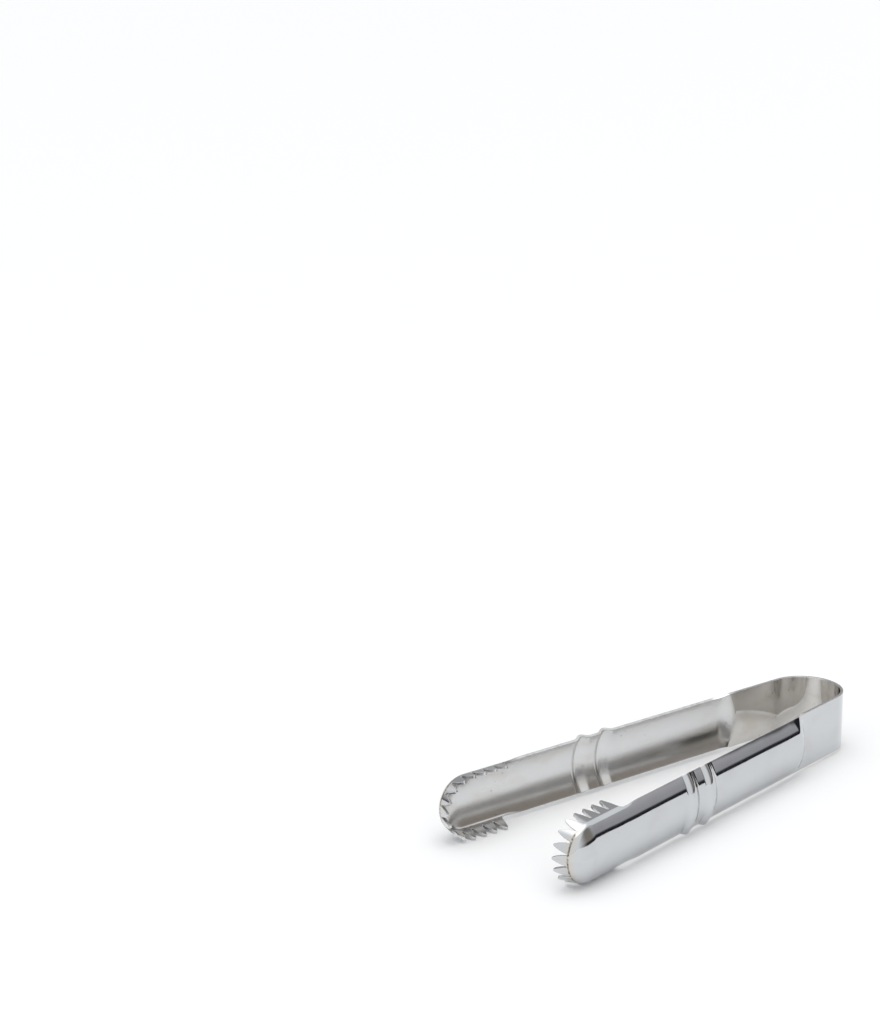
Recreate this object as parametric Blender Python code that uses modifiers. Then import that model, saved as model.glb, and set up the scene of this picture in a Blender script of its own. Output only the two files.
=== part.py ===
"""Ice tongs pressed from one springy strip of stainless steel.

The strip is bent into a U.  Its bow and the first stretch of each leg stay flat and flex.  From
a curved crease on, each leg is pressed into a stiff channel, crossed by two collar ribs and ended
by a spoon shaped jaw with a rim of claws.  The strip is divided into nodes where it flexes and
where the grip becomes the jaw, with a narrow gap between neighbours.

Frame: +X runs from the bow to the jaws, Y across the tongs, +Z up.  The tongs lie on their edges,
and the origin is the bottom centre of their bounding box.  Strip coordinates of a leg are s, the
distance along the leg from the bow's centre, o, outwards from the strip's flat outer face, and h,
the height above the middle of the strip.
"""

from math import acos, asin, cos, pi, radians, sin

import bmesh
import bpy
from mathutils import Vector

MM = 0.001

# Strip and bow
STRIP_WIDTH = 19.0 * MM
THICKNESS = 1.0 * MM
BOW_RADIUS = 12.85 * MM
OPEN_HALF_ANGLE = radians(5.8)
NODE_GAP = 0.3 * MM

# Places where the strip is divided
CROWN_HALF_ANGLE = radians(42.0)
LEG_HINGE_S = 10.5 * MM
JAW_START_S = 92.0 * MM

# Pressed channel of each leg
CHANNEL_DEPTH = 3.1 * MM
CREASE_S = 20.2 * MM
CREASE_LAG = 2.0 * MM
CREASE_LENGTH = 6.0 * MM

# Collar ribs
RIB_STARTS_S = (74.3 * MM, 84.0 * MM)
RIB_RISE = 3.8 * MM
RIB_FALL = 2.4 * MM
RIB_HEIGHT = 1.1 * MM

# Jaw
JAW_CENTRE_S = 136.05 * MM
SHOULDER_RADIUS = 2.6 * MM
SHOULDER_HALF_WIDTH = 9.5 * MM
WALL_SLOPE = radians(78.0)
ROOT_O = -1.5 * MM
TIP_O = -6.1 * MM
MORPH_START_S = 112.0 * MM
MORPH_END_S = 119.6 * MM

# Claws on the rim of the jaw
CLAWS_EACH_SIDE = 7
CLAW_PITCH = 4.2 * MM
CLAW_TIP_HALF_WIDTH = 0.5 * MM
CLAW_TIP_ROUND = 0.3 * MM
FIRST_CLAW_ROOT = 3.8 * MM
FIRST_CLAW_FILLET = 2.6

# Sampling
BOW_STEPS = 16
ARC_STEPS = 5
CHANNEL_STEPS = 12
RISE_STEPS = 4
CREASE_FRACTIONS = (0.0, 0.17, 0.34, 0.55, 0.77, 1.0)
FALL_FRACTIONS = (0.35, 0.7, 1.0)
FILLET_FRACTIONS = (0.1, 0.25, 0.45, 0.7, 1.0)
STRAIGHT_S = 34.0 * MM
MERGE = 0.001 * MM

# Derived dimensions
HALF_WIDTH = STRIP_WIDTH / 2
CHANNEL_RADIUS = (HALF_WIDTH**2 + CHANNEL_DEPTH**2) / (2 * CHANNEL_DEPTH)
CHANNEL_EDGE_SLOPE = asin(HALF_WIDTH / CHANNEL_RADIUS)
ARC_CENTRE_O = CHANNEL_DEPTH - CHANNEL_RADIUS
SHOULDER_SLOPE = asin(
    (SHOULDER_HALF_WIDTH - SHOULDER_RADIUS * sin(WALL_SLOPE)) / (CHANNEL_RADIUS - SHOULDER_RADIUS)
)
SHOULDER_CENTRE_O = ARC_CENTRE_O + (CHANNEL_RADIUS - SHOULDER_RADIUS) * cos(SHOULDER_SLOPE)
RIM_SLOPE = acos(-SHOULDER_CENTRE_O / SHOULDER_RADIUS)
WALL_TOP_O = SHOULDER_CENTRE_O + SHOULDER_RADIUS * cos(WALL_SLOPE)
CROWN_LENGTH = CHANNEL_RADIUS * SHOULDER_SLOPE
RIM_LENGTH = CROWN_LENGTH + SHOULDER_RADIUS * (RIM_SLOPE - SHOULDER_SLOPE)
SHOULDER_END = CROWN_LENGTH + SHOULDER_RADIUS * (WALL_SLOPE - SHOULDER_SLOPE)
ROOT_LENGTH = SHOULDER_END + (WALL_TOP_O - ROOT_O) / sin(WALL_SLOPE)
CLAW_LENGTH = (ROOT_O - TIP_O) / sin(WALL_SLOPE)
TIP_RADIUS = SHOULDER_HALF_WIDTH + (WALL_TOP_O - TIP_O) / sin(WALL_SLOPE) * cos(WALL_SLOPE)
MID_HEIGHT = TIP_RADIUS
BOW_MID_RADIUS = BOW_RADIUS - THICKNESS / 2


def smooth_step(t):
    """Ease from 0 to 1 with level ends."""
    t = min(max(t, 0.0), 1.0)
    return t * t * (3 - 2 * t)


def leg_point(s, o, h, side, centre_x):
    """World position of strip coordinates on a leg; side is +1 at +Y and -1 at -Y."""
    c = cos(OPEN_HALF_ANGLE)
    k = sin(OPEN_HALF_ANGLE)
    reach = BOW_RADIUS + o
    return Vector((centre_x + s * c - reach * k, side * (s * k + reach * c), MID_HEIGHT + h))


def bow_point(angle, o, h, side, centre_x):
    """World position on the bow; angle is measured from the crown towards the leg."""
    reach = BOW_RADIUS + o
    return Vector((centre_x - reach * cos(angle), side * reach * sin(angle), MID_HEIGHT + h))


def channel_section(q):
    """Offset and height on the arched section of a leg; q runs from its crest to its edge."""
    slope = q * CHANNEL_EDGE_SLOPE
    return ARC_CENTRE_O + CHANNEL_RADIUS * cos(slope), CHANNEL_RADIUS * sin(slope)


def jaw_section(length):
    """Offset and radius on the jaw's section, at a length from its crest: the channel's arch, a
    rounded shoulder, then a flared wall that the claws carry on."""
    if length <= CROWN_LENGTH:
        slope = length / CHANNEL_RADIUS
        return ARC_CENTRE_O + CHANNEL_RADIUS * cos(slope), CHANNEL_RADIUS * sin(slope)
    if length <= SHOULDER_END:
        slope = SHOULDER_SLOPE + (length - CROWN_LENGTH) / SHOULDER_RADIUS
        shoulder_centre = (CHANNEL_RADIUS - SHOULDER_RADIUS) * sin(SHOULDER_SLOPE)
        return (
            SHOULDER_CENTRE_O + SHOULDER_RADIUS * cos(slope),
            shoulder_centre + SHOULDER_RADIUS * sin(slope),
        )
    down = length - SHOULDER_END
    return WALL_TOP_O - down * sin(WALL_SLOPE), SHOULDER_HALF_WIDTH + down * cos(WALL_SLOPE)


def rib_height(s):
    """Height of the collar ribs above the channel: an easy rise, then a short fall to a crease."""
    for start in RIB_STARTS_S:
        along = s - start
        if 0 < along <= RIB_RISE:
            return RIB_HEIGHT * (1 - cos(pi * along / RIB_RISE)) / 2
        if RIB_RISE < along < RIB_RISE + RIB_FALL:
            return RIB_HEIGHT * cos(pi / 2 * (along - RIB_RISE) / RIB_FALL)
    return 0.0


def arm_surface(station, q):
    """Strip coordinates on an arm; station is (s, follow), where follow bends the line of
    constant s along the crease, and q runs from the lower edge, -1, to the upper edge, 1."""
    s, follow = station
    offset, height = channel_section(q)
    lag = CREASE_LAG * (height / HALF_WIDTH) ** 2
    place = s + follow * lag
    pressed = sin(pi / 2 * min(max((place - CREASE_S - lag) / CREASE_LENGTH, 0.0), 1.0))
    swell = 1 + rib_height(place) / CHANNEL_RADIUS
    offset = (ARC_CENTRE_O + (offset - ARC_CENTRE_O) * swell) * pressed
    return place, offset, height * swell


def arm_stations():
    """Stations along an arm from its flex line to the start of the jaw."""
    start_s = LEG_HINGE_S + NODE_GAP / 2
    stations = [(start_s, 0.0), ((start_s + CREASE_S) / 2, 0.5)]
    stations += [(CREASE_S + CREASE_LENGTH * t, 1.0) for t in CREASE_FRACTIONS]
    stations.append((STRAIGHT_S, 0.0))
    for start in RIB_STARTS_S:
        stations += [(start + RIB_RISE * i / RISE_STEPS, 0.0) for i in range(RISE_STEPS + 1)]
        stations += [(start + RIB_RISE + RIB_FALL * t, 0.0) for t in FALL_FRACTIONS]
    stations.append((JAW_START_S - NODE_GAP / 2, 0.0))
    return stations


def claw_rim():
    """Edge of the jaw from its middle claw backwards: (distance at the claws' tips, length of the
    section there beyond the claws' root line, or negative before it)."""
    corner = CLAW_LENGTH - CLAW_TIP_ROUND
    edge = [(0.0, CLAW_LENGTH)]
    for claw in range(CLAWS_EACH_SIDE + 1):
        middle = claw * CLAW_PITCH
        if claw:
            edge += [(middle - CLAW_TIP_HALF_WIDTH, corner), (middle, CLAW_LENGTH)]
        edge.append((middle + CLAW_TIP_HALF_WIDTH, corner))
        if claw < CLAWS_EACH_SIDE:
            edge.append((middle + CLAW_PITCH / 2, 0.0))
    last = CLAWS_EACH_SIDE * CLAW_PITCH + CLAW_TIP_HALF_WIDTH
    drop = corner + ROOT_LENGTH - RIM_LENGTH
    for t in FILLET_FRACTIONS:
        fall = 1 - (1 - t) ** FIRST_CLAW_FILLET
        edge.append((last + FIRST_CLAW_ROOT * t, corner - drop * fall))
    return edge


def jaw_stations():
    """Stations around a jaw, from the upper side of its start round the tip to the lower side:
    (s of the spine point, heading, length of the section from the crest to the edge)."""
    quarter = TIP_RADIUS * pi / 2
    upper = []
    for along, beyond_root in claw_rim():
        edge = ROOT_LENGTH + beyond_root
        if along < quarter:
            upper.append((JAW_CENTRE_S, along / TIP_RADIUS, edge))
        else:
            upper.append((JAW_CENTRE_S - (along - quarter), pi / 2, edge))
    middle = (MORPH_START_S + MORPH_END_S) / 2
    for s in (middle, MORPH_START_S, JAW_START_S + NODE_GAP / 2):
        upper.append((s, pi / 2, RIM_LENGTH))
    lower = [(s, -heading, edge) for s, heading, edge in upper[1:]]
    return upper[::-1] + lower


def jaw_columns():
    """Columns of the jaw's sheet: lengths from the crest in turn to the shoulder, the rim of the
    channel, the shoulder's end and the claws' root line, then fractions along the claw."""
    to_rim = (RIM_LENGTH - CROWN_LENGTH) / 2
    to_end = (SHOULDER_END - RIM_LENGTH) / 2
    columns = [("length", CROWN_LENGTH * i / ARC_STEPS) for i in range(ARC_STEPS + 1)]
    columns += [("length", CROWN_LENGTH + to_rim * i) for i in (1, 2)]
    columns += [("length", RIM_LENGTH + to_end * i) for i in (1, 2)]
    columns += [("length", ROOT_LENGTH), ("claw", 0.5), ("claw", 1.0)]
    return columns


def jaw_surface(station, column):
    """Strip coordinates on a jaw, whose section grows out of the channel's."""
    s, heading, edge = station
    kind, value = column
    if kind == "length":
        length = min(value, edge)
    else:
        length = min(edge, ROOT_LENGTH) + max(edge - ROOT_LENGTH, 0.0) * value
    offset, radius = jaw_section(length)
    if length <= RIM_LENGTH:
        morph = smooth_step((s - MORPH_START_S) / (MORPH_END_S - MORPH_START_S))
        plain_offset, plain_radius = channel_section(length / RIM_LENGTH)
        offset = plain_offset + (offset - plain_offset) * morph
        radius = plain_radius + (radius - plain_radius) * morph
    return s + radius * cos(heading), offset, radius * sin(heading)


def sheet(rows, columns, place):
    """Open sheet of len(rows) by len(columns) points, each put where place(row, column) says."""
    bm = bmesh.new()
    bmesh.ops.create_grid(
        bm, x_segments=len(rows) - 1, y_segments=len(columns) - 1, size=0.5
    )
    for vert in bm.verts:
        row = round((vert.co.x + 0.5) * (len(rows) - 1))
        column = round((vert.co.y + 0.5) * (len(columns) - 1))
        vert.co = place(rows[row], columns[column])
    bmesh.ops.remove_doubles(bm, verts=bm.verts, dist=MERGE)
    bmesh.ops.dissolve_degenerate(bm, edges=bm.edges, dist=MERGE)
    return bm


def add_node(name, bm, outwards, material, collection, parent):
    """Object from a sheet of the strip's outer face, thickened inwards, on its parent's axis."""
    bm.normal_update()
    face = max(bm.faces, key=lambda f: f.calc_area())
    if face.normal.dot(outwards) < 0:
        bmesh.ops.reverse_faces(bm, faces=bm.faces)
    if parent:
        bmesh.ops.translate(bm, verts=bm.verts, vec=-parent.matrix_world.translation)
    mesh = bpy.data.meshes.new(name)
    bm.to_mesh(mesh)
    bm.free()
    mesh.shade_smooth()
    mesh.materials.append(material)
    node = bpy.data.objects.new(name, mesh)
    collection.objects.link(node)
    node.parent = parent
    wall = node.modifiers.new("strip thickness", "SOLIDIFY")
    wall.thickness = THICKNESS
    wall.offset = -1.0
    wall.use_even_offset = True
    return node


def add_hinge(name, location, collection, parent):
    """Empty on a flex line; the nodes beyond the line hang from it."""
    empty = bpy.data.objects.new(name, None)
    empty.empty_display_size = STRIP_WIDTH / 2
    collection.objects.link(empty)
    empty.parent = parent
    empty.location = location
    if parent:
        empty.location -= parent.matrix_world.translation
    bpy.context.view_layer.update()
    return empty


def steel(name, colour, roughness):
    """Polished stainless steel."""
    material = bpy.data.materials.new(name)
    material.use_nodes = True
    shader = material.node_tree.nodes["Principled BSDF"]
    shader.inputs["Base Color"].default_value = (*colour, 1.0)
    shader.inputs["Metallic"].default_value = 1.0
    shader.inputs["Roughness"].default_value = roughness
    return material


def build_crown(centre_x, material, collection):
    """Middle of the bow."""
    gap = NODE_GAP / 2 / BOW_MID_RADIUS
    reach = CROWN_HALF_ANGLE - gap
    angles = [reach * (2 * i / BOW_STEPS - 1) for i in range(BOW_STEPS + 1)]
    bm = sheet(
        angles,
        (-HALF_WIDTH, 0.0, HALF_WIDTH),
        lambda angle, h: bow_point(angle, 0.0, h, 1, centre_x),
    )
    add_node("bow_crown", bm, Vector((-1, 0, 0)), material, collection, None)


def build_shoulder(side, word, centre_x, material, collection, hinge):
    """Quarter of the bow with the first flat stretch of a leg."""
    gap = NODE_GAP / 2 / BOW_MID_RADIUS
    start = CROWN_HALF_ANGLE + gap
    end = pi / 2 - OPEN_HALF_ANGLE
    steps = BOW_STEPS // 2
    rows = [("bow", start + (end - start) * i / steps) for i in range(steps + 1)]
    rows.append(("leg", LEG_HINGE_S - NODE_GAP / 2))

    def place(row, h):
        kind, value = row
        if kind == "bow":
            return bow_point(value, 0.0, h, side, centre_x)
        return leg_point(value, 0.0, h, side, centre_x)

    bm = sheet(rows, (-HALF_WIDTH, 0.0, HALF_WIDTH), place)
    outwards = Vector((0, side, 0))
    add_node("bow_shoulder_" + word, bm, outwards, material, collection, hinge)


def build_arm(side, word, centre_x, material, collection, hinge):
    """Flat end of a leg, its crease, the grip channel and the two collar ribs."""
    columns = [2 * i / CHANNEL_STEPS - 1 for i in range(CHANNEL_STEPS + 1)]
    bm = sheet(
        arm_stations(),
        columns,
        lambda station, q: leg_point(*arm_surface(station, q), side, centre_x),
    )
    add_node("arm_" + word, bm, Vector((0, side, 0)), material, collection, hinge)


def build_jaw(side, word, centre_x, material, collection, hinge):
    """Forward channel of a leg with its spoon shaped end and the claws."""
    bm = sheet(
        jaw_stations(),
        jaw_columns(),
        lambda station, q: leg_point(*jaw_surface(station, q), side, centre_x),
    )
    add_node("jaw_" + word, bm, Vector((0, side, 0)), material, collection, hinge)


def main():
    for old in list(bpy.data.objects):
        bpy.data.objects.remove(old, do_unlink=True)
    collection = bpy.data.collections.new("ice_tongs")
    bpy.context.scene.collection.children.link(collection)

    band = steel("polished_band", (0.78, 0.79, 0.80), 0.10)
    channel = steel("polished_channel", (0.74, 0.74, 0.76), 0.08)

    tip = leg_point(JAW_CENTRE_S + TIP_RADIUS, TIP_O, 0.0, 1, 0.0).x
    centre_x = BOW_RADIUS - (tip + BOW_RADIUS) / 2

    build_crown(centre_x, band, collection)
    for side, word in ((1, "left"), (-1, "right")):
        mid = -THICKNESS / 2
        bow_axis = bow_point(CROWN_HALF_ANGLE, mid, -HALF_WIDTH, side, centre_x)
        leg_axis = leg_point(LEG_HINGE_S, mid, -HALF_WIDTH, side, centre_x)
        bow_hinge = add_hinge("bow_flex_" + word, bow_axis, collection, None)
        leg_hinge = add_hinge("leg_flex_" + word, leg_axis, collection, bow_hinge)
        build_shoulder(side, word, centre_x, band, collection, bow_hinge)
        build_arm(side, word, centre_x, channel, collection, leg_hinge)
        build_jaw(side, word, centre_x, channel, collection, leg_hinge)


main()
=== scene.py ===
"""Looks of the ice tongs: the pressed steel strip at full detail, its finishes and a small studio.

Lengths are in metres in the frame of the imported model.  A leg of the strip is described by s, the
distance along the leg from the bow's centre, o, outwards from the strip's flat outer face, and h,
from the strip's centre line towards an edge.
"""

from math import acos, asin, atan2, cos, hypot, pi, radians, sin

import bmesh
import bpy
import numpy as np
from mathutils import Matrix, Vector


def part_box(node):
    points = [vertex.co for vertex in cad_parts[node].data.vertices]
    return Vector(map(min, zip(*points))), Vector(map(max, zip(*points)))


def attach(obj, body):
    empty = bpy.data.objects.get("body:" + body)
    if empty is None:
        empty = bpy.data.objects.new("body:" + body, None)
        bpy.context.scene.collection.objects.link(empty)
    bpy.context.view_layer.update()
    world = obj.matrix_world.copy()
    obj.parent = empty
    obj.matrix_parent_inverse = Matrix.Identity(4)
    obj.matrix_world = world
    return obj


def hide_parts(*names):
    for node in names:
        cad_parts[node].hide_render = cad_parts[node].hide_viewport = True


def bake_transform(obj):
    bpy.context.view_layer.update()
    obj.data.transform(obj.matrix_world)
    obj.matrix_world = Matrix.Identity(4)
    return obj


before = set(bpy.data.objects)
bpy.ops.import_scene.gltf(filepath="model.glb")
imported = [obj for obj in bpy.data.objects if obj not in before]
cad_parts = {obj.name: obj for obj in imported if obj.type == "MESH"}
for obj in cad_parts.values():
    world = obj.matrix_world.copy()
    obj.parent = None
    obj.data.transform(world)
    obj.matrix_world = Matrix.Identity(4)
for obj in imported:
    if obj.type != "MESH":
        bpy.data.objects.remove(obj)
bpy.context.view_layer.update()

MM = 0.001

# Strip and bow
THICKNESS = 1.0 * MM
BOW_RADIUS = 12.85 * MM
OPEN_HALF_ANGLE = radians(5.8)

# Pressed channel of each leg
CHANNEL_DEPTH = 3.1 * MM
CREASE_S = 20.2 * MM
CREASE_LAG = 2.0 * MM
CREASE_LENGTH = 6.0 * MM
CREASE_FILLET = 0.6 * MM

# Collar ribs
RIB_STARTS_S = (74.3 * MM, 84.0 * MM)
RIB_RISE = 3.8 * MM
RIB_FALL = 2.4 * MM
RIB_HEIGHT = 1.1 * MM
RIB_FILLET = 0.3 * MM

# Jaw
JAW_CENTRE_S = 136.05 * MM
SHOULDER_RADIUS = 2.6 * MM
SHOULDER_HALF_WIDTH = 9.5 * MM
WALL_SLOPE = radians(78.0)
ROOT_O = -1.5 * MM
TIP_O = -6.1 * MM
MORPH_START_S = 112.0 * MM
MORPH_END_S = 119.6 * MM

# Claws on the rim of the jaw
CLAWS_EACH_SIDE = 7
CLAW_PITCH = 4.2 * MM
CLAW_TIP_RADIUS = 0.5 * MM
FLANK_RADIUS = 16.0 * MM
NOTCH_RADIUS = 0.22 * MM
FIRST_CLAW_FILLET = 2.2 * MM

# Sheared edges
EDGE_ROUND = 0.16 * MM

# The strip's middle height and width and the bow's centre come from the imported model
crown_low, crown_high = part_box("bow_crown")
HALF_WIDTH = (crown_high.z - crown_low.z) / 2
MID_HEIGHT = (crown_high.z + crown_low.z) / 2
BOW_CENTRE_X = crown_low.x + BOW_RADIUS

# Derived dimensions of the channel and the jaw
CHANNEL_RADIUS = (HALF_WIDTH**2 + CHANNEL_DEPTH**2) / (2 * CHANNEL_DEPTH)
CHANNEL_EDGE_SLOPE = asin(HALF_WIDTH / CHANNEL_RADIUS)
ARC_CENTRE_O = CHANNEL_DEPTH - CHANNEL_RADIUS
SHOULDER_SLOPE = asin(
    (SHOULDER_HALF_WIDTH - SHOULDER_RADIUS * sin(WALL_SLOPE)) / (CHANNEL_RADIUS - SHOULDER_RADIUS)
)
SHOULDER_CENTRE_O = ARC_CENTRE_O + (CHANNEL_RADIUS - SHOULDER_RADIUS) * cos(SHOULDER_SLOPE)
RIM_SLOPE = acos(-SHOULDER_CENTRE_O / SHOULDER_RADIUS)
WALL_TOP_O = SHOULDER_CENTRE_O + SHOULDER_RADIUS * cos(WALL_SLOPE)
CROWN_LENGTH = CHANNEL_RADIUS * SHOULDER_SLOPE
RIM_LENGTH = CROWN_LENGTH + SHOULDER_RADIUS * (RIM_SLOPE - SHOULDER_SLOPE)
SHOULDER_END = CROWN_LENGTH + SHOULDER_RADIUS * (WALL_SLOPE - SHOULDER_SLOPE)
ROOT_LENGTH = SHOULDER_END + (WALL_TOP_O - ROOT_O) / sin(WALL_SLOPE)
CLAW_LENGTH = (ROOT_O - TIP_O) / sin(WALL_SLOPE)
TIP_RADIUS = SHOULDER_HALF_WIDTH + (WALL_TOP_O - TIP_O) / sin(WALL_SLOPE) * cos(WALL_SLOPE)
BOW_LENGTH = BOW_RADIUS * (pi / 2 - OPEN_HALF_ANGLE)
TIP_ALONG = JAW_CENTRE_S + TIP_RADIUS * pi / 2

# Where the visible pieces of the strip meet, both places flat
BOW_END_S = 3.0 * MM
LEG_START_S = 18.8 * MM

# Fineness of the meshes
ARCH_STEPS = 12
SHOULDER_STEPS = 14
CLAW_STEPS = 5
EDGE_STEPS = 4
BOW_STEPS = 60
FLAT_STEPS = 14
TIP_STEPS = 5
NOTCH_STEPS = 4
FLANK_STEPS = 5
FILLET_STEPS = 10
NUDGE = 0.01 * MM
MERGE = 0.001 * MM

# Material numbers of a piece of steel
OUTSIDE, CUT_EDGE, INSIDE = 0, 1, 2

# Name of the mesh attribute that holds coordinates on the flattened strip
STRIP_PLACE = "strip_place"


# ---------------------------------------------------------------- shape of the strip


def smooth_step(t):
    """Ease from 0 to 1 with level ends."""
    t = np.clip(t, 0.0, 1.0)
    return t * t * (3 - 2 * t)


def filleted(u, fillet):
    """max(u, 0) with its corner rounded from -fillet to fillet."""
    rounded = (u + fillet) ** 2 / (4 * fillet)
    return np.where(u > fillet, u, np.where(u < -fillet, 0.0, rounded))


def channel_section(q):
    """Offset and height on the arched section of a leg; q runs from 0 at its crest to 1."""
    slope = q * CHANNEL_EDGE_SLOPE
    return ARC_CENTRE_O + CHANNEL_RADIUS * np.cos(slope), CHANNEL_RADIUS * np.sin(slope)


def jaw_section(length):
    """Offset and radius on the jaw's section at a length from its crest: the channel's arch, a
    rounded shoulder, then a flared wall that the claws carry on."""
    arch = np.minimum(length, CROWN_LENGTH) / CHANNEL_RADIUS
    turn = np.clip(length - CROWN_LENGTH, 0.0, SHOULDER_END - CROWN_LENGTH) / SHOULDER_RADIUS
    down = np.maximum(length - SHOULDER_END, 0.0)
    slope = SHOULDER_SLOPE + turn
    offset = (
        CHANNEL_RADIUS * (np.cos(arch) - cos(SHOULDER_SLOPE))
        + SHOULDER_CENTRE_O
        + SHOULDER_RADIUS * np.cos(slope)
        - down * sin(WALL_SLOPE)
    )
    radius = (
        CHANNEL_RADIUS * (np.sin(arch) - sin(SHOULDER_SLOPE))
        + (CHANNEL_RADIUS - SHOULDER_RADIUS) * sin(SHOULDER_SLOPE)
        + SHOULDER_RADIUS * np.sin(slope)
        + down * cos(WALL_SLOPE)
    )
    return offset, radius


def rib_height(s):
    """Height of the collar ribs above the channel: an easy rise, then a short fall to a crease."""
    height = 0.0
    for start in RIB_STARTS_S:
        along = s - start
        rise = RIB_HEIGHT * (1 - np.cos(pi * np.clip(along / RIB_RISE, 0.0, 1.0))) / 2
        left = filleted(RIB_RISE + RIB_FALL - along, RIB_FILLET) / RIB_FALL
        fall = RIB_HEIGHT * np.sin(pi / 2 * np.minimum(left, 1.0))
        height = height + np.where(along < RIB_RISE, rise, fall)
    return height


def leg_face(s, length):
    """Strip coordinates (s, o, h) of the outer face up to the jaw's round end."""
    offset, height = channel_section(length / RIM_LENGTH)
    lag = CREASE_LAG * (height / HALF_WIDTH) ** 2
    near = smooth_step((s - LEG_START_S) / (CREASE_S - CREASE_FILLET - LEG_START_S))
    away = smooth_step((s - CREASE_S - CREASE_LENGTH) / CREASE_LENGTH)
    place = s + near * (1 - away) * lag
    past_crease = filleted(place - CREASE_S - lag, CREASE_FILLET)
    pressed = np.sin(pi / 2 * np.minimum(past_crease / CREASE_LENGTH, 1.0))
    swell = 1 + rib_height(place) / CHANNEL_RADIUS
    offset = (ARC_CENTRE_O + (offset - ARC_CENTRE_O) * swell) * pressed
    height = height * swell
    jaw_offset, jaw_radius = jaw_section(length)
    morph = smooth_step((s - MORPH_START_S) / (MORPH_END_S - MORPH_START_S))
    offset = offset + (jaw_offset - offset) * morph
    height = height + (jaw_radius - height) * morph
    return np.stack([place, offset, height], axis=-1)


def round_face(along, length):
    """Strip coordinates of the outer face on the jaw's round end."""
    heading = pi / 2 - (along - JAW_CENTRE_S) / TIP_RADIUS
    offset, radius = jaw_section(length)
    return np.stack(
        [JAW_CENTRE_S + radius * np.cos(heading), offset, radius * np.sin(heading)], axis=-1
    )


def unit(vectors):
    return vectors / np.linalg.norm(vectors, axis=-1, keepdims=True)


def outer_face(along, length):
    """Points and unit normals of the strip's outer face, in strip coordinates of its half with
    positive h.  along is s up to the jaw's round end and then the way round its rim."""
    along, length = np.broadcast_arrays(along, length)
    s = np.minimum(along, JAW_CENTRE_S)
    points = leg_face(s, length)
    by_s = leg_face(s + NUDGE, length) - leg_face(s - NUDGE, length)
    by_length = leg_face(s, length + NUDGE) - leg_face(s, length - NUDGE)
    normals = unit(np.cross(by_length, by_s))

    turned = along > JAW_CENTRE_S
    heading = pi / 2 - (along - JAW_CENTRE_S) / TIP_RADIUS
    ahead = jaw_section(length + NUDGE)
    behind = jaw_section(length - NUDGE)
    rise = ahead[1] - behind[1]
    drop = behind[0] - ahead[0]
    round_normals = unit(np.stack([drop * np.cos(heading), rise, drop * np.sin(heading)], axis=-1))
    points = np.where(turned[..., None], round_face(along, length), points)
    normals = np.where(turned[..., None], round_normals, normals)
    return points, normals


# ---------------------------------------------------------------- outline of the rim


def arc(centre_x, centre_y, radius, angles, outward_sign):
    """Samples (x, y, angle of the outward normal) of a round corner; outward_sign is 1 where the
    metal is inside the round and -1 where it is outside."""
    shift = 0.0 if outward_sign > 0 else pi
    return [(centre_x + radius * cos(a), centre_y + radius * sin(a), a + shift) for a in angles]


def claw_outline():
    """Rim of the jaw from its middle claw backwards: (distance from the middle, measured where the
    claws' tips are, length beyond the claws' root line, angle of the outward normal).  A claw has a
    round tip and flanks that bulge a little, and round notches part it from its neighbours."""
    tip_y = CLAW_LENGTH - CLAW_TIP_RADIUS
    notch_x = CLAW_PITCH / 2
    apart = hypot(notch_x, NOTCH_RADIUS - tip_y)
    to_tip = FLANK_RADIUS - CLAW_TIP_RADIUS
    to_notch = FLANK_RADIUS + NOTCH_RADIUS
    along_line = (to_tip**2 - to_notch**2 + apart**2) / (2 * apart)
    off_line = (to_tip**2 - along_line**2) ** 0.5
    line_x = notch_x / apart
    line_y = (NOTCH_RADIUS - tip_y) / apart
    flank_x = along_line * line_x + off_line * line_y
    flank_y = tip_y + along_line * line_y - off_line * line_x
    leaves_tip = atan2(tip_y - flank_y, -flank_x)
    meets_notch = atan2(NOTCH_RADIUS - flank_y, notch_x - flank_x)
    tip_angles = np.linspace(pi / 2, leaves_tip, TIP_STEPS + 1)
    flank_angles = np.linspace(leaves_tip, meets_notch, FLANK_STEPS + 1)[1:-1]
    notch_angles = np.linspace(meets_notch - pi, -pi / 2, NOTCH_STEPS + 1)

    outline = []
    for claw in range(CLAWS_EACH_SIDE):
        middle = claw * CLAW_PITCH
        falling = arc(middle, tip_y, CLAW_TIP_RADIUS, tip_angles, 1)
        falling += arc(middle + flank_x, flank_y, FLANK_RADIUS, flank_angles, 1)
        falling += arc(middle + notch_x, NOTCH_RADIUS, NOTCH_RADIUS, notch_angles, -1)
        turn_x = 2 * (middle + notch_x)
        rising = [(turn_x - x, y, pi - angle) for x, y, angle in falling[-2:0:-1]]
        outline += falling + rising

    last = CLAWS_EACH_SIDE * CLAW_PITCH
    fillet_y = RIM_LENGTH - ROOT_LENGTH + FIRST_CLAW_FILLET
    reach = FLANK_RADIUS + FIRST_CLAW_FILLET
    fillet_x = last + flank_x + (reach**2 - (fillet_y - flank_y) ** 2) ** 0.5
    meets_fillet = atan2(fillet_y - flank_y, fillet_x - last - flank_x)
    flank_angles = np.linspace(leaves_tip, meets_fillet, FLANK_STEPS + 1)[1:-1]
    fillet_angles = np.linspace(meets_fillet - pi, -pi / 2, FILLET_STEPS + 1)
    outline += arc(last, tip_y, CLAW_TIP_RADIUS, tip_angles, 1)
    outline += arc(last + flank_x, flank_y, FLANK_RADIUS, flank_angles, 1)
    return outline + arc(fillet_x, fillet_y, FIRST_CLAW_FILLET, fillet_angles, -1)


def spaced(*stops):
    """Values from the first stop to the last: stops are value, steps, value, steps, value..."""
    pieces = [
        np.linspace(stops[i], stops[i + 2], stops[i + 1] + 1)[:-1]
        for i in range(0, len(stops) - 2, 2)
    ]
    return np.concatenate(pieces + [[stops[-1]]])


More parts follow.
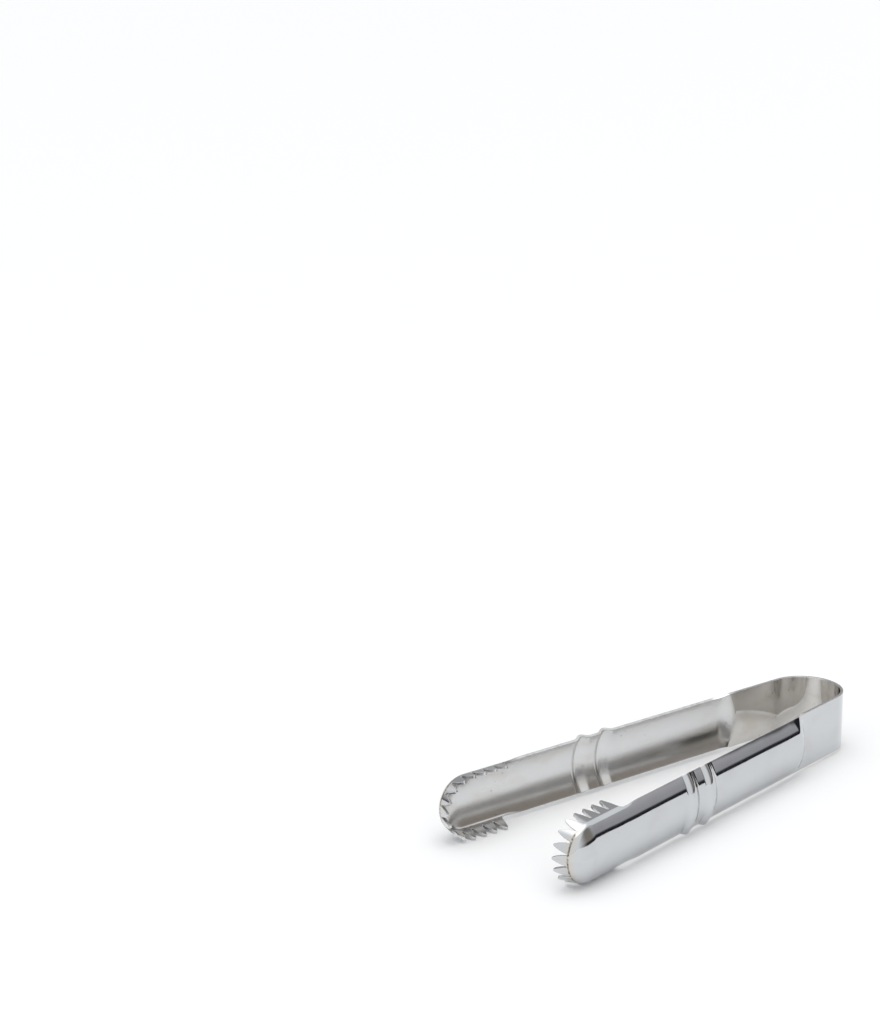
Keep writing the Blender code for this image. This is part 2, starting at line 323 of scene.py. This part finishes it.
def leg_stations(claws_start):
    """Values of s where a leg's sheet has a row, close together where it bends sharply."""
    stops = [LEG_START_S, 4, CREASE_S - CREASE_FILLET, 8, CREASE_S + CREASE_FILLET]
    stops += [20, CREASE_S + CREASE_LENGTH, 12, CREASE_S + 2 * CREASE_LENGTH, 8]
    for start in RIB_STARTS_S:
        peak = start + RIB_RISE
        foot = peak + RIB_FALL
        stops += [start, 20, peak, 14, foot - RIB_FILLET, 8, foot + RIB_FILLET, 4]
    stops += [MORPH_START_S, 14, claws_start]
    return spaced(*stops)[:-1]


# ---------------------------------------------------------------- meshes


def leg_directions(side):
    """World directions of s, o and h on a leg; side is 1 at +Y and -1 at -Y."""
    c = cos(OPEN_HALF_ANGLE)
    k = sin(OPEN_HALF_ANGLE)
    return np.array([[c, side * k, 0.0], [-k, side * c, 0.0], [0.0, 0.0, 1.0]])


def on_leg(points, normals, side):
    """Strip coordinates and directions on a leg as world ones."""
    axes = leg_directions(side)
    origin = np.array([BOW_CENTRE_X, 0.0, MID_HEIGHT]) + BOW_RADIUS * axes[1]
    return origin + points @ axes, normals @ axes


def wrapped(points, normals, outwards):
    """Carries each row of outer face points, (rows, columns, 3), over the strip's rounded edge and
    back along its inner face.  outwards points off the edge at the end of each row."""
    last = points[:, -1]
    up = normals[:, -1]
    out = unit(outwards - np.sum(outwards * up, axis=-1, keepdims=True) * up)
    turns = np.linspace(0.0, pi / 2, EDGE_STEPS + 1)
    edge_points, edge_normals = [], []
    for turn in turns:
        direction = up * cos(turn) + out * sin(turn)
        edge_points.append(last + EDGE_ROUND * (direction - up))
        edge_normals.append(direction)
    for turn in turns:
        direction = out * cos(turn) - up * sin(turn)
        edge_points.append(last + EDGE_ROUND * (direction + up) - THICKNESS * up)
        edge_normals.append(direction)
    inner = (points - THICKNESS * normals)[:, -2::-1]
    all_points = np.concatenate([points[:, :-1], np.stack(edge_points, axis=1), inner], axis=1)
    all_normals = np.concatenate(
        [normals[:, :-1], np.stack(edge_normals, axis=1), -normals[:, -2::-1]], axis=1
    )
    return all_points, all_normals


def strip_places(along, lengths):
    """Coordinates on the flattened strip for the points of a wrapped half: along it, across it from
    the crest, and one thickness further down on the inner face."""
    along = np.broadcast_to(along[:, None], lengths.shape)
    outer = np.stack([along, lengths, 0 * lengths], axis=-1)
    inner = outer[:, -2::-1] + np.array([0.0, 0.0, THICKNESS])
    steps = np.linspace(0.0, THICKNESS, 2 * (EDGE_STEPS + 1))
    edge = outer[:, -1:] + steps[:, None] * np.array([0.0, 0.0, 1.0])
    return np.concatenate([outer[:, :-1], edge, inner], axis=1)


def steel_piece(name, points, normals, outwards, along, lengths, open_end):
    """Closed object from the outer face of the strip's upper half.  The lower half mirrors it, and
    caps close the cut at the first row, and at the last row too if open_end is true."""
    outer_columns = points.shape[1]
    places = strip_places(along, lengths)
    points, normals = wrapped(points, normals, outwards)
    rows, columns = points.shape[:2]
    mirror = np.array([1.0, 1.0, -1.0])
    low_points = points * mirror + np.array([0.0, 0.0, 2 * MID_HEIGHT])
    all_points = np.concatenate([points.reshape(-1, 3), low_points.reshape(-1, 3)])
    all_normals = np.concatenate([normals.reshape(-1, 3), (normals * mirror).reshape(-1, 3)])

    upper = np.arange(rows * columns).reshape(rows, columns)
    lower = upper + rows * columns
    faces = []
    for index in (upper, lower[:, ::-1]):
        quads = np.stack(
            [index[:-1, :-1], index[:-1, 1:], index[1:, 1:], index[1:, :-1]], axis=-1
        )
        faces += quads.reshape(-1, 4).tolist()
    edge_columns = 2 * (EDGE_STEPS + 1)
    zone = [OUTSIDE] * (outer_columns - 1) + [CUT_EDGE] * (edge_columns - 1)
    zone += [INSIDE] * (outer_columns - 1)
    materials = zone * (rows - 1) + zone[::-1] * (rows - 1)
    for row in (0, -1) if open_end else (0,):
        faces.append(upper[row].tolist() + lower[row][::-1].tolist())
        materials.append(CUT_EDGE)

    mesh = bpy.data.meshes.new(name)
    mesh.from_pydata(all_points.tolist(), [], faces)
    mesh.polygons.foreach_set("material_index", materials)
    mesh.attributes.new("strip_normal", "FLOAT_VECTOR", "POINT")
    mesh.attributes["strip_normal"].data.foreach_set("vector", all_normals.ravel())
    all_places = np.concatenate([places, places * np.array([1.0, -1.0, 1.0])])
    mesh.attributes.new(STRIP_PLACE, "FLOAT_VECTOR", "POINT")
    mesh.attributes[STRIP_PLACE].data.foreach_set("vector", all_places.ravel())

    bm = bmesh.new()
    bm.from_mesh(mesh)
    bmesh.ops.remove_doubles(bm, verts=bm.verts, dist=MERGE)
    bmesh.ops.dissolve_degenerate(bm, edges=bm.edges, dist=MERGE)
    bmesh.ops.recalc_face_normals(bm, faces=bm.faces)
    bm.to_mesh(mesh)
    bm.free()

    strip_normals = np.zeros(len(mesh.vertices) * 3)
    mesh.attributes["strip_normal"].data.foreach_get("vector", strip_normals)
    strip_normals = strip_normals.reshape(-1, 3)
    corners = np.zeros(len(mesh.loops), int)
    mesh.loops.foreach_get("vertex_index", corners)
    corner_normals = strip_normals[corners]
    for polygon in mesh.polygons:
        if len(polygon.vertices) > 4:
            corner_normals[polygon.loop_indices] = polygon.normal
    mesh.shade_smooth()
    mesh.normals_split_custom_set(corner_normals.tolist())
    mesh.attributes.remove(mesh.attributes["strip_normal"])

    piece = bpy.data.objects.new(name, mesh)
    bpy.context.scene.collection.objects.link(piece)
    return piece


def face_columns():
    """Lengths from the crest of the columns of a half's outer face: up to the claws' root line,
    and as shares of the claw's own length beyond it."""
    to_root = spaced(0.0, ARCH_STEPS, CROWN_LENGTH, SHOULDER_STEPS, SHOULDER_END, 2, ROOT_LENGTH)
    return to_root, np.linspace(0.0, 1.0, CLAW_STEPS + 1)[1:]


def row_lengths(ends):
    """Lengths of all columns in each row, none past the row's end."""
    to_root, shares = face_columns()
    ends = ends[:, None]
    on_claw = ROOT_LENGTH + np.maximum(ends - ROOT_LENGTH, 0.0) * shares
    return np.minimum(np.concatenate([to_root + 0 * ends, on_claw], axis=1), ends)


def build_bow(side, word):
    """Half of the bow with the first flat stretch of a leg."""
    stations = spaced(0.0, BOW_STEPS, BOW_LENGTH, 2, BOW_LENGTH + BOW_END_S)
    lengths = row_lengths(np.full(len(stations), RIM_LENGTH - EDGE_ROUND))
    _, height = channel_section(lengths / RIM_LENGTH)
    angle = np.minimum(stations, BOW_LENGTH) / BOW_RADIUS
    past = np.maximum(stations - BOW_LENGTH, 0.0)
    radial = np.stack([-np.cos(angle), side * np.sin(angle), 0 * angle], axis=-1)
    path = np.array([BOW_CENTRE_X, 0.0, MID_HEIGHT]) + BOW_RADIUS * radial
    path = path + past[:, None] * leg_directions(side)[0]
    up = np.array([0.0, 0.0, 1.0])
    points = path[:, None] + height[..., None] * up
    normals = np.broadcast_to(radial[:, None], points.shape)
    outwards = np.broadcast_to(up, path.shape)
    piece = steel_piece(
        "bow_" + word, points, normals, outwards, stations - BOW_LENGTH, lengths, open_end=True
    )
    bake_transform(piece)
    return piece


def build_flat_leg(side, word):
    """Flat stretch of a leg next to the bow; on the real tongs this part flexes with the bow."""
    stations = spaced(BOW_END_S, FLAT_STEPS, LEG_START_S)
    lengths = row_lengths(np.full(len(stations), RIM_LENGTH - EDGE_ROUND))
    points, normals = on_leg(*outer_face(stations[:, None], lengths), side)
    outwards = np.broadcast_to(leg_directions(side)[2], (len(stations), 3))
    piece = steel_piece(
        "flat_leg_" + word, points, normals, outwards, stations, lengths, open_end=True
    )
    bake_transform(piece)
    return piece


def build_arm(side, word):
    """Pressed arm of one leg: crease, grip channel, collar ribs and the clawed jaw."""
    x, beyond, angle = np.array(claw_outline()[::-1]).T
    stations = leg_stations(TIP_ALONG - x[0])
    along = np.concatenate([stations, TIP_ALONG - x])
    ends = np.concatenate([np.full(len(stations), RIM_LENGTH), ROOT_LENGTH + beyond])
    angle = np.concatenate([np.full(len(stations), pi / 2), angle])

    _, radius = jaw_section(ends)
    stretch = np.where(along > JAW_CENTRE_S, radius / TIP_RADIUS, 1.0)
    across = np.stack([np.cos(angle), np.sin(angle) * stretch], axis=-1)
    across = unit(across)
    row_along = along + EDGE_ROUND * across[:, 0] / stretch
    row_ends = ends - EDGE_ROUND * across[:, 1]
    lengths = row_lengths(row_ends)
    points, normals = outer_face(row_along[:, None], lengths)
    ahead, _ = outer_face(row_along, row_ends + NUDGE)
    behind, _ = outer_face(row_along, row_ends - NUDGE)
    down = unit(ahead - behind)
    back = unit(np.cross(down, normals[:, -1]))
    outwards = across[:, :1] * back + across[:, 1:] * down
    points, normals = on_leg(points, normals, side)
    outwards = outwards @ leg_directions(side)
    piece = steel_piece(
        "arm_and_jaw_" + word, points, normals, outwards, row_along, lengths, open_end=False
    )
    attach(piece, "leg_" + word)
    return piece


# ---------------------------------------------------------------- materials


class Nodes:
    """Adds nodes to a tree; inputs are sockets to link or plain values."""

    def __init__(self, tree):
        self.tree = tree

    def add(self, kind, inputs, **settings):
        node = self.tree.nodes.new(kind)
        for key, value in settings.items():
            setattr(node, key, value)
        for key, value in inputs.items():
            if isinstance(value, bpy.types.NodeSocket):
                self.tree.links.new(value, node.inputs[key])
            else:
                node.inputs[key].default_value = value
        return node

    def math(self, operation, first, second=0.0, third=0.0):
        inputs = {0: first, 1: second, 2: third}
        return self.add("ShaderNodeMath", inputs, operation=operation).outputs[0]

    def ramp(self, value, low, high, to_low=0.0, to_high=1.0):
        """Eased step of value from low to high."""
        inputs = {"Value": value, 1: low, 2: high, 3: to_low, 4: to_high}
        node = self.add("ShaderNodeMapRange", inputs, interpolation_type="SMOOTHSTEP")
        return node.outputs["Result"]

    def mix(self, share, first, second):
        """Colour that goes from first to second with share."""
        inputs = {0: share, 6: first, 7: second}
        return self.add("ShaderNodeMix", inputs, data_type="RGBA").outputs[2]

    def noise(self, place, stretch, scale, detail=3.0):
        """Noise from 0 to 1; stretch multiplies the coordinates one by one."""
        inputs = {0: place, 1: stretch}
        scaled = self.add("ShaderNodeVectorMath", inputs, operation="MULTIPLY").outputs[0]
        inputs = {"Vector": scaled, "Scale": scale, "Detail": detail}
        return self.add("ShaderNodeTexNoise", inputs).outputs[0]

    def spots(self, place, scale, size):
        """Small round spots: 1 in their middles and 0 between them."""
        inputs = {"Vector": place, "Scale": scale}
        distance = self.add("ShaderNodeTexVoronoi", inputs).outputs["Distance"]
        return self.ramp(distance, 0.0, size, 1.0, 0.0)


def steel(name):
    """Empty steel material: its nodes, its shader, and the strip coordinates along and across."""
    material = bpy.data.materials.new(name)
    material.use_nodes = True
    nodes = Nodes(material.node_tree)
    shader = material.node_tree.nodes["Principled BSDF"]
    shader.inputs["Metallic"].default_value = 1.0
    place = nodes.add("ShaderNodeAttribute", {}, attribute_name=STRIP_PLACE).outputs["Vector"]
    apart = nodes.add("ShaderNodeSeparateXYZ", {0: place}).outputs
    return material, nodes, shader, place, apart["X"], apart["Y"]


def finish(nodes, shader, colour, roughness, height, depth):
    """Links the looks to the shader; the bump is height times depth."""
    bump = nodes.add("ShaderNodeBump", {"Height": height, "Distance": depth, "Strength": 1.0})
    nodes.tree.links.new(colour, shader.inputs["Base Color"])
    nodes.tree.links.new(roughness, shader.inputs["Roughness"])
    nodes.tree.links.new(bump.outputs[0], shader.inputs["Normal"])


# Polished outside.  Scales are in details per metre, and stretches thin them along the strip
POLISH = (0.59, 0.605, 0.62, 1.0)
POLISH_SMEARED = (0.555, 0.565, 0.575, 1.0)
PIT_COLOUR = (0.30, 0.27, 0.24, 1.0)
# Painted shade along the claws' roots on the round end: a brown tint and a dark brown line
ROOT_SHADE_TINT = (0.62, 0.55, 0.44, 1.0)
ROOT_SHADE_COLOUR = (0.10, 0.07, 0.045, 1.0)
SMEAR_SCALE = 130.0
SMEAR_STEP = (0.45, 0.75)
POLISH_LINE_SCALE = 9000.0
POLISH_LINE_STRETCH = (0.03, 1.0, 1.0)
WAVE_SCALE = 160.0
SWELL_SCALE = 62.0
SWELL_HEIGHT = 4.0
PIT_SCALE = 260.0
PIT_SIZE = 0.07
PIT_PATCH_SCALE = 90.0
PIT_PATCH_STEP = (0.5, 0.62)
ROOT_SHADE_SCALE = 900.0
ROOT_SHADE_STEP = (0.36, 0.6)
ROOT_SHADE_WIDTH = (0.1 * MM, 0.45 * MM, 1.0, 0.0)
TINT_WIDTH = (0.2 * MM, 2.6 * MM, 0.4, 0.0)
POLISH_ROUGHNESS = 0.045
POLISH_RELIEF = 0.03 * MM

# Satin inside
SATIN = (0.69, 0.695, 0.70, 1.0)
SATIN_STAINED = (0.655, 0.645, 0.63, 1.0)
BAND = (0.625, 0.61, 0.585, 1.0)
BAND_STAINED = (0.56, 0.53, 0.49, 1.0)
# Painted shade on the lower side of the pressed channels
LOW_SIDE_SHADE = (0.53, 0.495, 0.45, 1.0)
GRAIN_COLOUR = (0.56, 0.55, 0.54, 1.0)
SPECK_COLOUR = (0.20, 0.16, 0.13, 1.0)
CLOUD_SCALE = 230.0
STAIN_STEP = (0.48, 0.72)
SATIN_LINE_SCALE = 7000.0
SATIN_LINE_STRETCH = (0.02, 1.0, 1.0)
GRAIN_SCALE = 2600.0
GRAIN_STEP = (0.35, 0.8, 0.0, 0.3)
SPECK_SCALE = 420.0
SPECK_SIZE = 0.17
SPECK_PATCH_SCALE = 150.0
SPECK_PATCH_STEP = (0.52, 0.60)
LOW_SIDE = (-6.5 * MM, 1.0 * MM, 0.5, 0.0)
LOW_SIDE_SHADE_PATCHES = (0.3, 0.6, 0.5, 1.0)
SATIN_ROUGHNESS = 0.15
BAND_ROUGHNESS = 0.06
SATIN_RELIEF = 0.006 * MM

# Cut edges
EDGE_CLEAN = (0.64, 0.64, 0.645, 1.0)
EDGE_DULL = (0.52, 0.505, 0.485, 1.0)
EDGE_LINE_SCALE = 3800.0
EDGE_LINE_STRETCH = (1.0, 1.0, 0.08)
EDGE_PATCH_SCALE = 420.0
EDGE_PATCH_STEP = (0.4, 0.7)
EDGE_ROUGHNESS = 0.08
EDGE_RELIEF = 0.012 * MM

EVEN = (1.0, 1.0, 1.0)


def polished_outside():
    """Mirror polish, a little wavy, with faint lines and smears, and painted shade along the roots
    of
    the claws on the round end: a wide brown tint and a patchy dark brown line where the dome turns
    down into the wall."""
    material, nodes, shader, place, along, across = steel("polished_outside")
    smears = nodes.ramp(nodes.noise(place, (0.6, 1.0, 1.0), SMEAR_SCALE), *SMEAR_STEP)
    lines = nodes.noise(place, POLISH_LINE_STRETCH, POLISH_LINE_SCALE, 2.0)
    waves = nodes.noise(place, (0.5, 1.0, 1.0), WAVE_SCALE, 1.0)
    swells = nodes.noise(place, (0.8, 1.0, 1.0), SWELL_SCALE, 0.0)
    pits = nodes.spots(place, PIT_SCALE, PIT_SIZE)
    pitted = nodes.ramp(nodes.noise(place, EVEN, PIT_PATCH_SCALE), *PIT_PATCH_STEP)
    pits = nodes.math("MULTIPLY", pits, pitted)

    from_crest = nodes.math("ABSOLUTE", across)
    # Painted shade along the claws' roots on the round end, where the dome turns down into the
    # wall: a wide brown tint and a patchy dark brown line
    root = nodes.math("ABSOLUTE", nodes.math("SUBTRACT", from_crest, ROOT_LENGTH - 0.5 * MM))
    round_end = nodes.ramp(along, JAW_CENTRE_S + 2 * MM, TIP_ALONG - 7 * MM)
    patchy = nodes.ramp(nodes.noise(place, EVEN, ROOT_SHADE_SCALE), *ROOT_SHADE_STEP)
    root_shade = nodes.math("MULTIPLY", nodes.ramp(root, *ROOT_SHADE_WIDTH), round_end)
    root_shade = nodes.math("MULTIPLY", root_shade, patchy)
    tint = nodes.math("MULTIPLY", nodes.ramp(root, *TINT_WIDTH), round_end)

    colour = nodes.mix(smears, POLISH, POLISH_SMEARED)
    colour = nodes.mix(pits, colour, PIT_COLOUR)
    colour = nodes.mix(tint, colour, ROOT_SHADE_TINT)
    colour = nodes.mix(root_shade, colour, ROOT_SHADE_COLOUR)
    roughness = nodes.math("MULTIPLY_ADD", smears, 0.035, POLISH_ROUGHNESS)
    roughness = nodes.math("MULTIPLY_ADD", lines, 0.02, roughness)
    roughness = nodes.math("MULTIPLY_ADD", root_shade, 0.3, roughness)
    height = nodes.math("MULTIPLY_ADD", lines, 0.004, waves)
    height = nodes.math("MULTIPLY_ADD", swells, SWELL_HEIGHT, height)
    height = nodes.math("MULTIPLY_ADD", pits, -0.2, height)
    finish(nodes, shader, colour, roughness, height, POLISH_RELIEF)
    return material


def satin_inside():
    """Satin inside of the pressed channels, stained and specked, with painted shade that makes the
    lower side darker and browner; the flat band is nearer a mirror."""
    material, nodes, shader, place, along, across = steel("satin_inside")
    pressed = nodes.ramp(along, CREASE_S - 1 * MM, CREASE_S + 2 * MM)
    cloudy = nodes.noise(place, (0.45, 1.0, 1.0), CLOUD_SCALE, 5.0)
    stains = nodes.ramp(cloudy, *STAIN_STEP)
    lines = nodes.noise(place, SATIN_LINE_STRETCH, SATIN_LINE_SCALE, 3.0)
    grain = nodes.noise(place, EVEN, GRAIN_SCALE, 4.0)
    specks = nodes.spots(place, SPECK_SCALE, SPECK_SIZE)
    chosen = nodes.ramp(nodes.noise(place, EVEN, SPECK_PATCH_SCALE), *SPECK_PATCH_STEP)
    specks = nodes.math("MULTIPLY", specks, chosen)

    colour = nodes.mix(stains, SATIN, SATIN_STAINED)
    band_colour = nodes.mix(stains, BAND, BAND_STAINED)
    colour = nodes.mix(pressed, band_colour, colour)
    # Painted shade: the lower side of the pressed channels darker and browner, patchy with the
    # cloud noise
    low_side = nodes.ramp(across, *LOW_SIDE)
    uneven = nodes.ramp(cloudy, *LOW_SIDE_SHADE_PATCHES)
    low_side_shade = nodes.math("MULTIPLY", nodes.math("MULTIPLY", low_side, uneven), pressed)
    colour = nodes.mix(low_side_shade, colour, LOW_SIDE_SHADE)
    colour = nodes.mix(nodes.ramp(grain, *GRAIN_STEP), colour, GRAIN_COLOUR)
    colour = nodes.mix(specks, colour, SPECK_COLOUR)
    rough = nodes.math("MULTIPLY_ADD", grain, 0.08, SATIN_ROUGHNESS)
    rough = nodes.math("MULTIPLY_ADD", stains, 0.05, rough)
    mirror = nodes.math("MULTIPLY_ADD", stains, 0.05, BAND_ROUGHNESS)
    roughness = nodes.add("ShaderNodeMix", {0: pressed, 2: mirror, 3: rough}).outputs[0]
    height = nodes.math("MULTIPLY_ADD", grain, 0.5, nodes.math("MULTIPLY", lines, 0.5))
    height = nodes.math("MULTIPLY", height, nodes.math("MULTIPLY_ADD", pressed, 0.8, 0.2))
    height = nodes.math("MULTIPLY_ADD", specks, -0.3, height)
    finish(nodes, shader, colour, roughness, height, SATIN_RELIEF)
    return material


def cut_edge():
    """Sheared and tumbled edge of the strip, with short lines across it."""
    material, nodes, shader, place = steel("cut_edge")[:4]
    lines = nodes.noise(place, EDGE_LINE_STRETCH, EDGE_LINE_SCALE, 3.0)
    patches = nodes.ramp(nodes.noise(place, EVEN, EDGE_PATCH_SCALE), *EDGE_PATCH_STEP)
    colour = nodes.mix(patches, EDGE_CLEAN, EDGE_DULL)
    roughness = nodes.math("MULTIPLY_ADD", patches, 0.10, nodes.math("MULTIPLY", lines, 0.2))
    roughness = nodes.math("ADD", roughness, EDGE_ROUGHNESS)
    finish(nodes, shader, colour, roughness, lines, EDGE_RELIEF)
    return material


# ---------------------------------------------------------------- studio

CAMERA_POSITION = Vector((0.5449, 0.4617, 0.2936))
CAMERA_HEADING = radians(226.194)
CAMERA_DROP = radians(15.576)
CAMERA_ROLL = radians(-0.333)
CAMERA_LENS = 84.7
CAMERA_SENSOR = 36.0
CAMERA_NEAR = 0.01

FLOOR_HALF_SIZE = 10.0
FLOOR_COLOUR = (0.95, 0.95, 0.95, 1.0)
FLOOR_ROUGHNESS = 0.6

# Studio round the tongs.  Bearings are measured from the -X direction towards -Y, and elevations
# from the horizon.  A pair is a step up from 0 to 1, and (..., 1.0, 0.0) after it a step down
SKY_RISE = (radians(52.0), radians(76.0))
SKY_LOW = (0.96, 0.975, 0.99, 1.0)
SKY_HIGH = (2.35, 2.35, 2.35, 1.0)
BEHIND_START = (radians(22.0), radians(30.0))
BEHIND_END = (radians(70.0), radians(95.0), 1.0, 0.0)
BEHIND_TOP = (radians(34.0), radians(56.0), 1.0, 0.0)
BEHIND = (0.45, 0.45, 0.455, 1.0)
WALL_START = (radians(-90.0), radians(-62.0))
WALL_END = (radians(6.0), radians(9.0), 1.0, 0.0)
WALL_TOP = (radians(40.0), radians(54.0), 1.0, 0.0)
WALL_TINT = (radians(-50.0), radians(-38.0))
WALL_WARM = (0.275, 0.25, 0.222, 1.0)
WALL_COOL = (0.41, 0.405, 0.42, 1.0)
WALL_RISE = (radians(6.0), radians(30.0))
WALL_HIGH = (0.60, 0.59, 0.61, 1.0)
FRAME_LOW = (radians(3.5), radians(6.5), 1.0, 0.0)
FRAME_SIDE = (radians(-29.5), radians(-26.5))
FRAME_SIDE_LOWER = radians(24.0)
FRAME = (0.02, 0.02, 0.025, 1.0)
SECOND_START = (radians(92.0), radians(108.0))
SECOND_END = (radians(134.0), radians(146.0), 1.0, 0.0)
SECOND_LOW = (radians(1.0), radians(5.0))
SECOND_TOP = (radians(38.0), radians(52.0), 1.0, 0.0)
SECOND = (0.33, 0.335, 0.35, 1.0)
BACKDROP = (0.94, 0.94, 0.94, 1.0)


def build_camera():
    camera = bpy.data.objects.new("camera", bpy.data.cameras.new("camera"))
    bpy.context.scene.collection.objects.link(camera)
    camera.data.lens = CAMERA_LENS
    camera.data.sensor_width = CAMERA_SENSOR
    camera.data.clip_start = CAMERA_NEAR
    look = Vector((
        cos(CAMERA_DROP) * cos(CAMERA_HEADING),
        cos(CAMERA_DROP) * sin(CAMERA_HEADING),
        -sin(CAMERA_DROP),
    ))
    level = look.to_track_quat("-Z", "Y").to_matrix()
    roll = Matrix.Rotation(CAMERA_ROLL, 3, "Z")
    camera.matrix_world = Matrix.Translation(CAMERA_POSITION) @ (level @ roll).to_4x4()
    bpy.context.scene.camera = camera


def build_floor():
    mesh = bpy.data.meshes.new("floor")
    bm = bmesh.new()
    bmesh.ops.create_grid(bm, x_segments=1, y_segments=1, size=FLOOR_HALF_SIZE)
    bm.to_mesh(mesh)
    bm.free()
    floor = bpy.data.objects.new("floor", mesh)
    bpy.context.scene.collection.objects.link(floor)
    low = min(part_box("jaw_left")[0].z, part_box("jaw_right")[0].z)
    floor.location = (0.0, 0.0, low)
    material = bpy.data.materials.new("floor")
    material.use_nodes = True
    shader = material.node_tree.nodes["Principled BSDF"]
    shader.inputs["Base Color"].default_value = FLOOR_COLOUR
    shader.inputs["Roughness"].default_value = FLOOR_ROUGHNESS
    mesh.materials.append(material)


def build_world():
    """Soft white light from all round.  Low down there are a grey wall with a dark frame, a grey
    patch next to it and a second wall across from it, for the polished steel to mirror."""
    world = bpy.data.worlds.new("studio")
    bpy.context.scene.world = world
    world.use_nodes = True
    nodes = Nodes(world.node_tree)
    direction = nodes.add("ShaderNodeTexCoord", {}).outputs["Generated"]
    apart = nodes.add("ShaderNodeSeparateXYZ", {0: direction}).outputs
    back_x = nodes.math("MULTIPLY", apart[0], -1.0)
    back_y = nodes.math("MULTIPLY", apart[1], -1.0)
    bearing = nodes.math("ARCTAN2", back_y, back_x)
    elevation = nodes.math("ARCSINE", apart[2])

    colour = nodes.mix(nodes.ramp(elevation, *SKY_RISE), SKY_LOW, SKY_HIGH)
    behind = nodes.ramp(bearing, *BEHIND_START)
    behind = nodes.math("MULTIPLY", behind, nodes.ramp(bearing, *BEHIND_END))
    behind = nodes.math("MULTIPLY", behind, nodes.ramp(elevation, *BEHIND_TOP))
    colour = nodes.mix(behind, colour, BEHIND)
    wall = nodes.math("MULTIPLY", nodes.ramp(bearing, *WALL_START), nodes.ramp(bearing, *WALL_END))
    side = nodes.ramp(bearing, *FRAME_SIDE)
    low = nodes.math("MULTIPLY_ADD", side, FRAME_SIDE_LOWER, elevation)
    wall = nodes.math("MULTIPLY", wall, nodes.ramp(low, *WALL_TOP))
    frame_part = nodes.math("MAXIMUM", nodes.ramp(elevation, *FRAME_LOW), side)
    lit = nodes.mix(nodes.ramp(elevation, *WALL_RISE), WALL_COOL, WALL_HIGH)
    grey = nodes.mix(nodes.ramp(bearing, *WALL_TINT), WALL_WARM, lit)
    colour = nodes.mix(wall, colour, nodes.mix(frame_part, grey, FRAME))
    second = nodes.ramp(bearing, *SECOND_START)
    second = nodes.math("MULTIPLY", second, nodes.ramp(bearing, *SECOND_END))
    second = nodes.math("MULTIPLY", second, nodes.ramp(elevation, *SECOND_TOP))
    shade = nodes.mix(nodes.ramp(elevation, *SECOND_LOW), FRAME, SECOND)
    colour = nodes.mix(second, colour, shade)
    seen = nodes.add("ShaderNodeLightPath", {}).outputs["Is Camera Ray"]
    colour = nodes.mix(seen, colour, BACKDROP)
    background = world.node_tree.nodes["Background"]
    world.node_tree.links.new(colour, background.inputs["Color"])
    background.inputs["Strength"].default_value = 1.0


# ---------------------------------------------------------------- assembly


def main():
    build_camera()
    build_floor()
    build_world()
    outside = polished_outside()
    edge = cut_edge()
    inside = satin_inside()
    for side, word in ((1, "left"), (-1, "right")):
        bow = build_bow(side, word)
        flat = build_flat_leg(side, word)
        arm = build_arm(side, word)
        for piece in (bow, flat, arm):
            for material in (outside, edge, inside):
                piece.data.materials.append(material)
        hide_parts("bow_crown", "bow_shoulder_" + word)
        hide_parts("arm_" + word, "jaw_" + word)
    bpy.context.scene.view_settings.view_transform = "Standard"


main()
